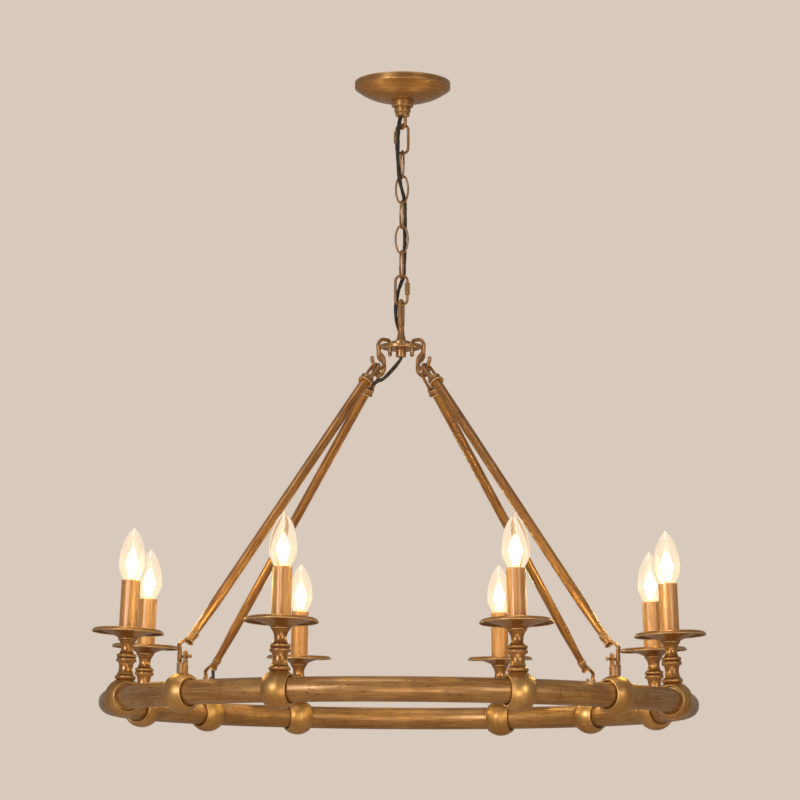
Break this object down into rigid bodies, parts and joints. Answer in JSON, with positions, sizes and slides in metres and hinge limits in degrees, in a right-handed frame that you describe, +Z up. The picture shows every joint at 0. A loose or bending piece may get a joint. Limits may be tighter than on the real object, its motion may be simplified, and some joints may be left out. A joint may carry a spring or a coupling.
{
  "type": "wagon wheel chandelier",
  "caption": "Ring chandelier with candle lamps on ball collars, hung by hooked rods from a chain and a round ceiling canopy.",
  "frame": {"origin": "middle of the mounting strap's top face, on the ceiling", "axes": "+Z up, -Y towards the side seen first, X along the mounting strap"},
  "size_m": [0.8534, 0.8534, 0.937],
  "materials": {
    "aged_bronze": "satin hand-rubbed bronze-gold with brown streaks",
    "gold_ball": "satin antique gold",
    "dark_bronze": "satin dark bronze",
    "zinc": "zinc plated",
    "ground_green": "green dyed screw",
    "lamp_holder": "matte",
    "clear_glass": "clear, polished",
    "bulb_cap": "bright",
    "cord_black": "matte braid"
  },
  "bodies": {
    "ceiling_fitting": {"mounting_strap": "zinc", "ground_screw": "ground_green", "ceiling_nipple": "zinc", "nipple_nuts": "zinc", "stem_loop": "dark_bronze", "upper_cord": "cord_black"},
    "canopy": {"canopy": "dark_bronze", "canopy_ring_nut": "dark_bronze"},
    "upper_quick_link": {"upper_quick_link": "aged_bronze"},
    "upper_link_nut": {"upper_link_nut": "aged_bronze"},
    "chain_link_1": {"chain_link_1": "aged_bronze"},
    "chain_link_2": {"chain_link_2": "aged_bronze"},
    "chain_link_3": {"chain_link_3": "aged_bronze"},
    "chain_link_4": {"chain_link_4": "aged_bronze"},
    "chain_link_5": {"chain_link_5": "aged_bronze"},
    "lower_quick_link": {"lower_quick_link": "aged_bronze"},
    "lower_link_nut": {"lower_link_nut": "aged_bronze"},
    "rod_rear_right": {"rod_rear_right": "aged_bronze", "rod_bail_rear_right": "aged_bronze"},
    "rod_rear_left": {"rod_rear_left": "aged_bronze", "rod_bail_rear_left": "aged_bronze", "lower_cord": "cord_black"},
    "rod_front_left": {"rod_front_left": "aged_bronze", "rod_bail_front_left": "aged_bronze"},
    "rod_front_right": {"rod_front_right": "aged_bronze", "rod_bail_front_right": "aged_bronze"},
    "bulb_1": {"bulb_glass_1": "clear_glass", "bulb_base_1": "bulb_cap"},
    "bulb_2": {"bulb_glass_2": "clear_glass", "bulb_base_2": "bulb_cap"},
    "bulb_3": {"bulb_glass_3": "clear_glass", "bulb_base_3": "bulb_cap"},
    "bulb_4": {"bulb_glass_4": "clear_glass", "bulb_base_4": "bulb_cap"},
    "bulb_5": {"bulb_glass_5": "clear_glass", "bulb_base_5": "bulb_cap"},
    "bulb_6": {"bulb_glass_6": "clear_glass", "bulb_base_6": "bulb_cap"},
    "bulb_7": {"bulb_glass_7": "clear_glass", "bulb_base_7": "bulb_cap"},
    "bulb_8": {"bulb_glass_8": "clear_glass", "bulb_base_8": "bulb_cap"},
    "wheel": {"hub_loop": "aged_bronze", "hub_nipple": "zinc", "hub_plate": "aged_bronze", "hub_nut": "aged_bronze", "s_hooks": "aged_bronze", "wheel_half_left": "aged_bronze", "wheel_half_right": "aged_bronze", "wheel_joiners": "zinc", "candle_collars": "gold_ball", "rod_collars": "gold_ball", "hinge_posts": "aged_bronze", "hinge_pins": "aged_bronze", "candle_nipples": "zinc", "candle_pillars": "aged_bronze", "drip_pans": "aged_bronze", "candle_sleeves": "aged_bronze", "lamp_sockets": "lamp_holder"}
  },
  "joints": [
    {"name": "canopy_slide", "type": "slide", "parent": "ceiling_fitting", "child": "canopy", "axis": [0, 0, -1], "range_m": [0, 0.018]},
    {"name": "stem_swing", "type": "hinge", "parent": "ceiling_fitting", "child": "upper_quick_link", "pos_m": [0, 0, -0.06822], "axis": [0.5, -0.866, 0], "range_deg": [-12, 12], "deforming": ["upper_cord"]},
    {"name": "upper_link_swing", "type": "hinge", "parent": "upper_quick_link", "child": "chain_link_1", "pos_m": [0, 0, -0.10643], "axis": [1, 0, 0], "range_deg": [-14, 14], "deforming": ["upper_cord"]},
    {"name": "chain_swing_1", "type": "hinge", "parent": "chain_link_1", "child": "chain_link_2", "pos_m": [0, 0, -0.14303], "axis": [0.2588, -0.9659, 0], "range_deg": [-14, 14], "deforming": ["upper_cord"]},
    {"name": "chain_swing_2", "type": "hinge", "parent": "chain_link_2", "child": "chain_link_3", "pos_m": [0, 0, -0.18013], "axis": [1, 0, 0], "range_deg": [-14, 14], "deforming": ["upper_cord"]},
    {"name": "chain_swing_3", "type": "hinge", "parent": "chain_link_3", "child": "chain_link_4", "pos_m": [0, 0, -0.21723], "axis": [0.2588, -0.9659, 0], "range_deg": [-14, 14], "deforming": ["upper_cord"]},
    {"name": "chain_swing_4", "type": "hinge", "parent": "chain_link_4", "child": "chain_link_5", "pos_m": [0, 0, -0.25433], "axis": [1, 0, 0], "range_deg": [-14, 14], "deforming": ["upper_cord"]},
    {"name": "chain_swing_5", "type": "hinge", "parent": "chain_link_5", "child": "lower_quick_link", "pos_m": [0, 0, -0.29142], "axis": [0.2588, -0.9659, 0], "range_deg": [-14, 14], "deforming": ["upper_cord"]},
    {"name": "hub_swing", "type": "hinge", "parent": "lower_quick_link", "child": "wheel", "pos_m": [0, 0, -0.33093], "axis": [1, 0, 0], "range_deg": [-14, 14], "deforming": ["upper_cord"]},
    {"name": "upper_nut_slide", "type": "slide", "parent": "upper_quick_link", "child": "upper_link_nut", "axis": [0, 0, -1], "range_m": [0, 0.007]},
    {"name": "lower_nut_slide", "type": "slide", "parent": "lower_quick_link", "child": "lower_link_nut", "axis": [0, 0, -1], "range_m": [0, 0.007]},
    {"name": "rod_hinge_rear_right", "type": "hinge", "parent": "wheel", "child": "rod_rear_right", "pos_m": [0.28991, 0.28991, -0.86182], "axis": [-0.7071, 0.7071, 0], "range_deg": [0, 0.2]},
    {"name": "rod_hinge_rear_left", "type": "hinge", "parent": "wheel", "child": "rod_rear_left", "pos_m": [-0.28991, 0.28991, -0.86182], "axis": [-0.7071, -0.7071, 0], "range_deg": [0, 0.2], "deforming": ["lower_cord"]},
    {"name": "rod_hinge_front_left", "type": "hinge", "parent": "wheel", "child": "rod_front_left", "pos_m": [-0.28991, -0.28991, -0.86182], "axis": [0.7071, -0.7071, 0], "range_deg": [0, 0.2]},
    {"name": "rod_hinge_front_right", "type": "hinge", "parent": "wheel", "child": "rod_front_right", "pos_m": [0.28991, -0.28991, -0.86182], "axis": [0.7071, 0.7071, 0], "range_deg": [0, 0.2]},
    {"name": "bulb_slide_1", "type": "slide", "parent": "wheel", "child": "bulb_1", "axis": [-0.0419, -0.0174, 0.999], "range_m": [0, 0.04]},
    {"name": "bulb_slide_2", "type": "slide", "parent": "wheel", "child": "bulb_2", "axis": [-0.0174, -0.0419, 0.999], "range_m": [0, 0.04]},
    {"name": "bulb_slide_3", "type": "slide", "parent": "wheel", "child": "bulb_3", "axis": [0.0174, -0.0419, 0.999], "range_m": [0, 0.04]},
    {"name": "bulb_slide_4", "type": "slide", "parent": "wheel", "child": "bulb_4", "axis": [0.0419, -0.0174, 0.999], "range_m": [0, 0.04]},
    {"name": "bulb_slide_5", "type": "slide", "parent": "wheel", "child": "bulb_5", "axis": [0.0419, 0.0174, 0.999], "range_m": [0, 0.04]},
    {"name": "bulb_slide_6", "type": "slide", "parent": "wheel", "child": "bulb_6", "axis": [0.0174, 0.0419, 0.999], "range_m": [0, 0.04]},
    {"name": "bulb_slide_7", "type": "slide", "parent": "wheel", "child": "bulb_7", "axis": [-0.0174, 0.0419, 0.999], "range_m": [0, 0.04]},
    {"name": "bulb_slide_8", "type": "slide", "parent": "wheel", "child": "bulb_8", "axis": [-0.0419, 0.0174, 0.999], "range_m": [0, 0.04]}
  ]
}
